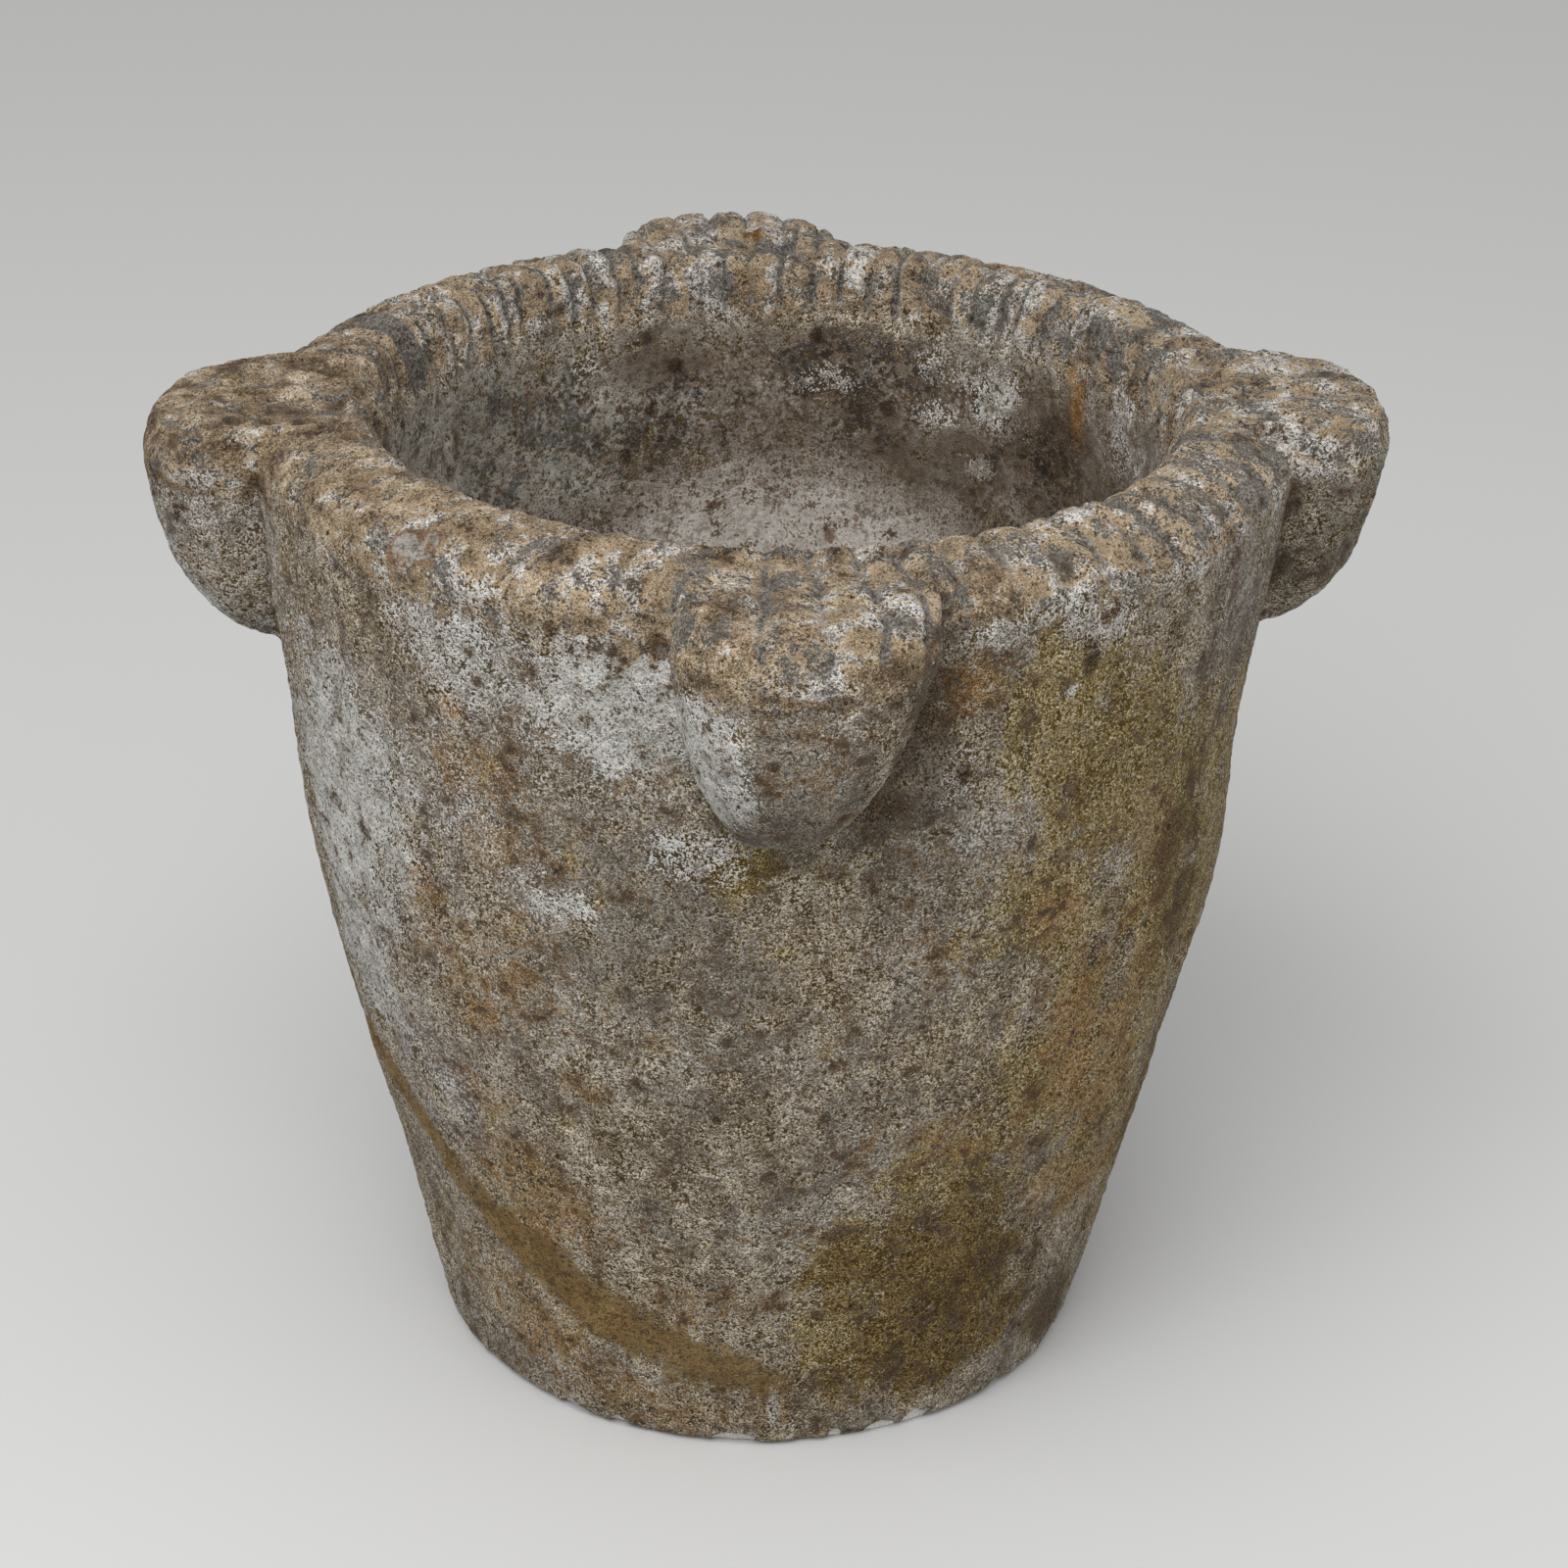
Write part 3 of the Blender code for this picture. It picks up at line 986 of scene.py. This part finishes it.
class Graph(Nodes):
    """Short calls for the nodes of a material."""

    def __init__(self, name):
        self.material = bpy.data.materials.new(name)
        self.material.use_nodes = True
        super().__init__(self.material.node_tree)
        self.shader = self.tree.nodes["Principled BSDF"]
        self.object = self.node("ShaderNodeTexCoord").outputs["Object"]
        self.known_masks = {}

    def mask(self, name):
        if name not in self.known_masks:
            node = self.node("ShaderNodeAttribute", attribute_name=name)
            self.known_masks[name] = node.outputs["Fac"]
        return self.known_masks[name]

    def noise(self, size, detail, rough, stretch=(1, 1, 1), shift=0.0, warp=0.0):
        shifts = (shift, shift * 0.7, shift * 1.3)
        inputs = {"Vector": self.object, "Scale": stretch, "Location": shifts}
        place = self.node("ShaderNodeMapping", inputs).outputs["Vector"]
        inputs = {"Vector": place, "Scale": 1 / size, "Detail": detail, "Roughness": rough}
        return self.node("ShaderNodeTexNoise", {**inputs, "Distortion": warp}).outputs["Fac"]

    def calc(self, operation, *values):
        return self.node("ShaderNodeMath", dict(enumerate(values)), operation=operation).outputs[0]

    def times(self, a, b):
        return self.calc("MULTIPLY", a, b)

    def scaled(self, value, factor, added):
        """The value times the factor, plus the added."""
        return self.calc("MULTIPLY_ADD", value, factor, added)

    def step(self, low, high, value):
        inputs = {"Value": value, "From Min": low, "From Max": high}
        return self.node("ShaderNodeMapRange", inputs, interpolation_type="SMOOTHSTEP").outputs["Result"]

    def blend(self, share, a, b, way="MIX"):
        """From colour a to colour b as the share goes from 0 to 1."""
        a, b = ((*color, 1.0) if isinstance(color, tuple) else color for color in (a, b))
        settings = {"data_type": "RGBA", "blend_type": way, "clamp_factor": True}
        return self.node("ShaderNodeMix", {"Factor": share, 6: a, 7: b}, **settings).outputs[2]

    def darken(self, share, color, tint):
        """The colour multiplied by a tint, as far as the share goes."""
        return self.blend(share, color, tint, "MULTIPLY")

    def ramp(self, value, *stops):
        """Blends between stops, each a value in hundredths and its colour in thousandths."""
        node = self.node("ShaderNodeValToRGB", {"Fac": value})
        elements = node.color_ramp.elements
        while len(elements) < len(stops):
            elements.new(0.5)
        for element, (place, red, green, blue) in zip(elements, stops):
            element.position = place / 100
            element.color = (red / 1000, green / 1000, blue / 1000, 1.0)
        return node.outputs["Color"]

    def ragged(self, mask, noise, most=1.0):
        """The mask broken up by noise: bare at 0, all covered at 1, ragged between."""
        shifted = self.scaled(mask, 0.5, self.calc("SUBTRACT", noise, 0.25))
        return self.times(self.step(*ragged_edge, shifted), most)

    def soft(self, mask, noise, most=1.0, uneven=3.0):
        """The mask as a film that thins out gently and that noise makes uneven."""
        shifted = self.scaled(self.calc("SUBTRACT", noise, 0.5), uneven, mask)
        return self.times(self.step(*soft_edge, shifted), most)


class Noises:
    """The noises that the stone's colours share, named by how large their patches are."""

    def __init__(self, g):
        self.g = g
        self.grain = g.noise(0.0008, 1.0, 0.60, shift=2.3)
        self.fine = g.noise(0.0014, 2.5, 0.65)
        self.film = g.noise(0.0036, 4.0, 0.65, shift=9.3)
        self.mid = g.noise(0.011, 5.0, 0.62, shift=5.7)
        self.wide = g.noise(0.030, 5.0, 0.60, shift=3.1)
        self.coarse = g.noise(0.080, 4.0, 0.60, shift=7.7)
        self.drip = g.noise(0.017, 5.0, 0.62, stretch=(1, 1, 0.35), shift=12.9)
        self.plate = g.noise(0.016, 6.0, 0.66, shift=15.1)
        self.crack = g.noise(0.020, 4.0, 0.60, shift=18.7, warp=0.4)
        self.tone = self.mix("fine", grain=0.60, film=0.60, mid=0.32, drip=0.38)
        # Painted shade and light: the tone is darkened in fine hollows and lightened on fine ridges
        self.tone = g.scaled(g.mask("hollow"), -0.045, self.tone)
        self.edge = self.mix("mid", film=0.8, fine=0.8, wide=0.5)

    def mix(self, name, **shares):
        """A noise with shares of others added to it, still about 0.5."""
        mixed = getattr(self, name)
        for other, share in shares.items():
            off_middle = self.g.calc("SUBTRACT", getattr(self, other), 0.5)
            mixed = self.g.scaled(off_middle, share, mixed)
        return mixed


# The stone's colours, with g for its graph and n for its noises

def bare_stone(g, n):
    """Weathered stone: dark saturated hollows and pale grains, here browner and there greyer."""
    brown = g.ramp(n.tone, (34, 42, 25, 9), (43, 131, 89, 41), (50, 240, 191, 124),
                   (57, 400, 356, 280), (65, 600, 570, 515))
    grey = g.ramp(n.tone, (34, 68, 55, 38), (43, 148, 127, 96), (50, 226, 204, 168),
                  (57, 346, 322, 281), (65, 570, 550, 503))
    browner = n.mix("coarse", wide=0.8, mid=0.8, film=0.5)
    color = g.blend(g.step(0.40, 0.60, browner), brown, grey)
    smooth_grey = g.ramp(n.tone, (36, 68, 58, 46), (50, 130, 116, 95), (62, 262, 244, 213))
    return g.blend(g.soft(g.mask("grey"), n.edge, 0.80), color, smooth_grey)


def stained_stone(g, n, color):
    """Olive, ochre and brown stains in the bare stone."""
    olive = g.ramp(n.tone, (36, 52, 31, 3), (44, 126, 81, 13), (50, 212, 150, 37), (56, 342, 274, 124),
                   (63, 580, 535, 420))
    drips = n.mix("wide", drip=0.9, film=0.5)
    olive_share = g.scaled(g.mask("olive"), 1.15, 0.04)
    color = g.blend(g.soft(olive_share, drips, 0.95, 2.4), color, olive)
    color = g.darken(g.soft(g.mask("moss"), drips, 0.95, 2.4), color, (0.62, 0.52, 0.32))
    ochre = g.ramp(n.tone, (34, 84, 39, 7), (46, 234, 120, 26), (56, 354, 226, 92), (65, 490, 400, 270))
    scattered_ochre = g.scaled(g.step(0.50, 0.64, n.coarse), 0.28, g.mask("ochre"))
    color = g.blend(g.soft(scattered_ochre, n.edge, 0.85, 4.0), color, ochre)
    streak = g.step(0.545, 0.625, n.mix("drip", film=0.8, fine=0.6))
    color = g.darken(g.times(streak, g.times(g.mask("olive"), 0.70)), color, (0.52, 0.40, 0.26))
    grime = n.mix("plate", wide=0.8, fine=0.6)
    color = g.darken(g.times(g.step(0.440, 0.370, grime), 0.30), color, (0.56, 0.54, 0.52))
    blots = n.mix("film", mid=0.6, fine=0.9)
    return g.darken(g.step(0.605, 0.645, blots), color, (0.42, 0.33, 0.24))


def vein_color(g, n):
    tone = n.mix("mid", film=0.6, fine=0.7)
    return g.ramp(tone, (40, 98, 54, 12), (50, 168, 101, 26), (60, 245, 160, 55))


def damp_stone(g, n):
    """The upper bowl, dark and damp: brown at the back and greyer to the left, lighter there partly as
    painted light.
    """
    tone = n.mix("film", fine=0.6, mid=0.6, wide=0.6, coarse=0.5)
    # Painted shade and light: darker in fine hollows and lighter on fine ridges
    tone = g.scaled(g.mask("hollow"), -0.035, tone)
    brown = g.ramp(tone, (34, 44, 28, 17), (44, 90, 67, 48), (52, 136, 110, 87), (60, 232, 206, 174),
                   (70, 380, 358, 322))
    # The grey is lighter than the brown, partly as painted light on the bowl's left
    grey = g.ramp(tone, (34, 105, 90, 69), (44, 190, 173, 143), (52, 258, 241, 209),
                  (60, 345, 327, 292), (70, 490, 470, 434))
    damp = g.blend(g.soft(g.mask("grey"), n.edge), brown, grey)
    beige = g.ramp(n.tone, (34, 105, 85, 65), (50, 205, 178, 146), (64, 400, 378, 340))
    patches = n.mix("wide", mid=0.9, film=0.6)
    damp = g.blend(g.times(g.step(0.535, 0.650, patches), 0.60), damp, beige)
    shady = n.mix("coarse", plate=0.9, film=0.6)
    damp = g.darken(g.step(0.460, 0.350, shady), damp, (0.46, 0.49, 0.53))
    rusty = g.ramp(n.tone, (38, 120, 55, 12), (60, 340, 190, 60))
    return g.blend(g.soft(g.mask("ochre"), n.edge, 0.85), damp, rusty)


def white_lichen(g, n):
    """How far the lichen covers and its colour: dense in its patches, thin between them."""
    speckle = n.mix("fine", grain=0.45, film=0.55, mid=0.45, wide=0.65)
    bias = g.scaled(g.mask("white"), 0.300, -0.185)
    bias = g.scaled(g.mask("vein"), -0.120, bias)
    cover = g.step(0.470, 0.540, g.calc("ADD", speckle, bias))
    tone = n.mix("fine", film=0.6, wide=0.6, grain=0.5)
    color = g.ramp(tone, (36, 250, 236, 212), (46, 405, 392, 365), (56, 515, 504, 480),
                   (66, 610, 600, 577))
    return g.times(cover, 0.94), color


def worn_floor(g, n, color):
    """The bowl worn smooth and pale below, with soft brown blisters."""
    tone = n.mix("film", mid=0.8, fine=0.4)
    pale = g.ramp(tone, (36, 225, 198, 170), (48, 345, 318, 285), (62, 480, 458, 420))
    haze = g.ramp(n.tone, (34, 90, 67, 50), (50, 165, 138, 113), (64, 290, 260, 224))
    edge = n.mix("wide", mid=0.8, film=0.6, fine=0.6)
    hazy = g.soft(g.scaled(g.mask("worn"), 1.4, 0.0), edge, 0.85, 2.0)
    color = g.blend(hazy, color, haze)
    deep = g.scaled(g.mask("worn"), 1.5, -0.50)
    color = g.blend(g.soft(deep, edge, 0.95, 1.6), color, pale)
    blister = g.ragged(g.mask("blister"), n.film, g.step(0.45, 0.85, g.mask("worn")))
    brown = g.blend(g.step(0.42, 0.58, n.fine), (0.100, 0.056, 0.035), (0.200, 0.128, 0.088))
    return g.blend(g.times(blister, 0.90), color, brown)


def crust(g, n):
    """Crust of the rim and the lug tops: tan with white and slate patches, pinholes and cracks."""
    tan_tone = n.mix("plate", film=0.6, fine=0.5, grain=0.3)
    tan = g.ramp(tan_tone, (37, 80, 47, 22), (45.5, 188, 129, 70), (54, 285, 213, 130),
                 (64, 430, 352, 255))
    # Paler tan where the pale share is high: on the back-left rim this is partly painted light
    tan = g.blend(g.times(g.mask("pale"), 0.75), tan, (0.400, 0.302, 0.190))
    own = g.times(g.calc("SUBTRACT", g.mask("own"), 0.5), g.mask("pale"))
    flecks = n.mix("plate", mid=0.8, film=0.6, fine=0.5)
    white_bias = g.scaled(g.mask("pale"), 0.150, g.scaled(own, -0.12, -0.172))
    white_bias = g.scaled(g.mask("line"), 0.085, white_bias)
    white = g.ramp(n.mix("fine", grain=0.5), (38, 290, 274, 247), (50, 460, 445, 415),
                   (62, 610, 597, 568))
    color = g.blend(g.step(0.475, 0.508, g.calc("ADD", flecks, white_bias)), tan, white)
    streaks = n.mix("crack", wide=0.5, film=0.8, fine=0.6)
    slate_bias = g.scaled(g.mask("pale"), -0.098, g.scaled(own, -0.12, 0.026))
    slate_bias = g.scaled(g.mask("line"), 0.085, slate_bias)
    slate = g.ramp(n.mix("fine", film=0.5, grain=0.4), (36, 45, 41, 36),
                   (50, 112, 106, 95), (64, 280, 268, 245))
    bright = g.step(0.585, 0.640, n.mix("fine", grain=0.8, film=0.4))
    color = g.blend(g.times(bright, 0.32), color, white)
    slate_share = g.step(0.412, 0.384, g.calc("ADD", streaks, slate_bias))
    color = g.blend(g.times(slate_share, 0.92), color, slate)
    blots = g.step(0.600, 0.640, n.mix("film", wide=0.6, fine=1.0))
    color = g.darken(g.times(blots, 0.85), color, (0.42, 0.34, 0.27))
    off_crack = g.calc("ABSOLUTE", g.calc("SUBTRACT", n.crack, 0.5))
    crack = g.times(g.step(0.009, 0.002, off_crack), g.step(0.42, 0.52, n.mid))
    color = g.blend(g.times(crack, 0.65), color, (0.062, 0.046, 0.032))
    pinholes = g.step(0.400, 0.360, n.mix("fine", grain=0.6))
    return g.blend(g.times(pinholes, 0.75), color, (0.085, 0.058, 0.034)), slate


def surface_color(g, n):
    """The colours laid over each other, and how far the lichen covers."""
    color = stained_stone(g, n, bare_stone(g, n))
    vein_share = g.times(g.mask("vein"), 1.40)
    vein_edge = n.mix("mid", film=0.9, fine=0.7)
    color = g.blend(g.soft(vein_share, vein_edge, 0.92, 2.8), color, vein_color(g, n))
    color = g.blend(g.soft(g.mask("bowl"), n.edge), color, damp_stone(g, n))
    lichen, lichen_color = white_lichen(g, n)
    color = g.blend(lichen, color, lichen_color)
    color = worn_floor(g, n, color)
    crusty, slate = crust(g, n)
    color = g.blend(g.ragged(g.mask("cap"), n.edge), color, crusty)
    # Dark patches: stains, and partly painted shade on the front lug's right side and on the right lug's
    # side
    color = g.darken(g.soft(g.mask("dark"), n.edge, 1.0, 4.5), color, (0.40, 0.35, 0.30))
    dot = g.step(0.35, 0.75, g.scaled(g.calc("SUBTRACT", n.fine, 0.5), 2.0, g.mask("dot")))
    color = g.darken(dot, color, (0.38, 0.32, 0.26))
    # Painted shade: darker in the wide creases where the lugs meet the wall and under the lugs
    color = g.darken(g.soft(g.mask("crease_shade"), n.edge), color, (0.55, 0.48, 0.40))
    color = g.blend(g.ragged(g.mask("dirt"), n.mix("film", fine=0.5), 0.90), color, slate)
    color = g.darken(g.times(g.mask("dirt"), 0.60), color, (0.62, 0.58, 0.53))
    speckled = n.mix("film", fine=0.7)
    color = g.darken(g.ragged(g.mask("spot"), speckled), color, (0.36, 0.29, 0.22))
    pore = g.times(g.step(0.44, 0.54, n.mid), g.ragged(g.mask("pore"), speckled))
    color = g.darken(pore, color, (0.45, 0.37, 0.28))
    rust = g.ragged(g.mask("rust"), speckled, 0.60)
    color = g.blend(rust, color, (0.140, 0.070, 0.034))
    chip = g.ramp(speckled, (38, 130, 118, 100), (60, 330, 315, 285))
    color = g.blend(g.ragged(g.mask("chip"), speckled, 0.85), color, chip)
    color = g.blend(g.ragged(g.mask("fresh"), n.film), color, (0.70, 0.69, 0.66))
    moss = g.ramp(n.fine, (42, 50, 18, 4), (56, 190, 100, 28))
    return g.blend(g.ragged(g.mask("tuft"), n.fine), color, moss), lichen


def stone_material():
    g = Graph("stone")
    n = Noises(g)
    color, lichen = surface_color(g, n)
    g.link(color, g.shader.inputs["Base Color"])
    g.link(g.scaled(n.fine, 0.25, 0.76), g.shader.inputs["Roughness"])
    g.shader.inputs["Specular IOR Level"].default_value = specular_level
    relief = n.mix("fine", film=1.6, mid=1.4, grain=0.4)
    relief = g.scaled(lichen, 0.10, relief)
    smoother = g.calc("MAXIMUM", g.mask("worn"), g.times(g.mask("bowl"), 0.6))
    inputs = {"Distance": bump_height, "Strength": g.scaled(smoother, -0.65, 0.8), "Height": relief}
    g.link(g.node("ShaderNodeBump", inputs).outputs["Normal"], g.shader.inputs["Normal"])
    return g.material


# The pieces

# How far above the mouth the bowl's piece reaches, and the height over which the wear fades to the
# flat base
bowl_piece_rise = 0.020
flat_base_fade = (0.0, 0.003)

# How many steps of rounding find the fine hollows and wide creases of the painted shade, and how deep
# the deepest are
hollow_shade_rounding = (6, 0.0004)
crease_shade_rounding = (45, 0.0022)


def build_piece(name, faces, points, normals, point_masks, material):
    """One named piece of the skin, with the whole skin's normals so that no seam shows."""
    used, corners = np.unique(faces, return_inverse=True)
    mesh = bpy.data.meshes.new(name)
    mesh.vertices.add(len(used))
    mesh.loops.add(faces.size)
    mesh.polygons.add(len(faces))
    mesh.vertices.foreach_set("co", points[used].astype(np.float32).ravel())
    mesh.loops.foreach_set("vertex_index", corners.astype(np.int32).ravel())
    mesh.polygons.foreach_set("loop_start", np.arange(0, faces.size, 4, dtype=np.int32))
    mesh.update(calc_edges=True)
    mesh.shade_smooth()
    for mask_name, values in point_masks.items():
        layer = mesh.attributes.new(mask_name, "FLOAT", "POINT")
        layer.data.foreach_set("value", values[used].astype(np.float32))
    mesh.normals_split_custom_set_from_vertices(normals[used])
    mesh.materials.append(material)
    piece = add_object(name, mesh)
    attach(piece, "root")
    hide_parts("stone_block")


def face_regions(place, mesh):
    """The faces of each named region: the base, the bowl, and four outer quarters, a lug on each."""
    faces = read_values(mesh.loops, "vertex_index", kind=np.int32).reshape(-1, 4)
    corner = faces[:, 0]
    bowl = place.inside[corner] & (place.z[corner] < mouth_height + bowl_piece_rise)
    base = (place.z[corner] < base_edge_bevel / 2) & ~bowl
    turn = np.degrees(np.arctan2(place.points[corner, 0], -place.points[corner, 1]))
    quarter = np.round(turn / 90).astype(int) % lug_count
    regions = {"stone_base": base, "stone_bowl": bowl}
    for index, side in enumerate(("front", "right", "back", "left")):
        regions["stone_" + side] = (quarter == index) & ~base & ~bowl
    return {name: faces[there] for name, there in regions.items()}


def hollowness(mesh, points, normals, steps, deep):
    """How far each point lies below the smooth surface round it: 1 where it is that deep."""
    below = ((rounded(mesh, points, steps, 0.5) - points) * normals).sum(axis=1)
    return np.clip(below / deep, -1, 1)


def stone():
    """The whole planter: the plain skin worn by grooves, pits, chips and erosion."""
    skin = plain_skin()
    plain = read_points(skin)
    above_foot = smooth_step(*foot_rounding, plain[:, 2])
    points = rounded(skin, plain, rounding_steps, 0.5 * above_foot)
    write_points(skin, points)
    place = Place(skin, points)
    move, point_masks = wear(place)
    keep_flat = smooth_step(*flat_base_fade, place.z)
    worn = points + read_normals(skin) * (move * keep_flat)[:, None]
    worn = np.clip(worn, *np.array(cad_box))
    write_points(skin, worn)
    normals = read_normals(skin)
    point_masks.update(masks(place))
    # Painted shade and light: how far each point lies in a fine hollow (darkened) or on a ridge
    # (lightened)
    point_masks["hollow"] = hollowness(skin, worn, normals, *hollow_shade_rounding)
    # Painted shade in the wide concave creases round and under the lugs, on the outside below the rim
    crease_shade = hollowness(skin, worn, normals, *crease_shade_rounding)
    point_masks["crease_shade"] = smooth_step(0.25, 0.90, crease_shade) * (1 - place.rim) * ~place.inside
    material = stone_material()
    for name, faces in face_regions(place, skin).items():
        build_piece(name, faces, worn, normals, point_masks, material)
    bpy.data.meshes.remove(skin)


stone()


# Floor, light and camera

floor_half_size = 40.0
floor_color = (0.48, 0.48, 0.475, 1)
floor_roughness = 0.8
world_strength = 0.80

# A lamp's place, the point it faces, and its power
lamp_size = 2.0
lamps = {
    "key": ((-0.8, -1.6, 2.5), (0, 0, 0.25), 80),
    "fill": ((1.9, -1.4, 1.6), (0, 0, 0.3), 12),
}


def stage_floor():
    mesh = bpy.data.meshes.new("floor")
    half = floor_half_size
    corners = [(-half, -half, 0), (half, -half, 0), (half, half, 0), (-half, half, 0)]
    mesh.from_pydata(corners, [], [(0, 1, 2, 3)])
    floor = add_object("floor", mesh)
    paint = bpy.data.materials.new("floor_paint")
    paint.use_nodes = True
    shader = paint.node_tree.nodes["Principled BSDF"]
    shader.inputs["Base Color"].default_value = floor_color
    shader.inputs["Roughness"].default_value = floor_roughness
    shader.inputs["Specular IOR Level"].default_value = 0.0
    mesh.materials.append(paint)


def area_light(name, place, aim, power):
    light = bpy.data.lights.new(name, "AREA")
    light.shape = "SQUARE"
    light.size = lamp_size
    light.energy = power
    lamp = add_object(name, light)
    look = (Vector(aim) - Vector(place)).to_track_quat("-Z", "Y").to_matrix().to_4x4()
    lamp.matrix_world = Matrix.Translation(place) @ look


def studio():
    world = bpy.data.worlds.new("studio")
    world.use_nodes = True
    background = world.node_tree.nodes["Background"]
    background.inputs["Color"].default_value = (1, 1, 1, 1)
    background.inputs["Strength"].default_value = world_strength
    bpy.context.scene.world = world
    for name, (place, aim, power) in lamps.items():
        area_light(name, place, aim, power)


def camera():
    data = bpy.data.cameras.new("camera")
    data.lens = camera_lens
    data.sensor_width = sensor_width
    data.sensor_fit = "HORIZONTAL"
    eye = add_object("camera", data)
    eye.matrix_world = (
        Matrix.Translation(camera_place)
        @ Matrix.Rotation(math.radians(-front_turn), 4, "Z")
        @ Matrix.Rotation(math.pi / 2 - camera_pitch, 4, "X")
        @ Matrix.Rotation(camera_roll, 4, "Z")
    )
    bpy.context.scene.camera = eye


stage_floor()
studio()
camera()
bpy.context.scene.view_settings.view_transform = "Standard"
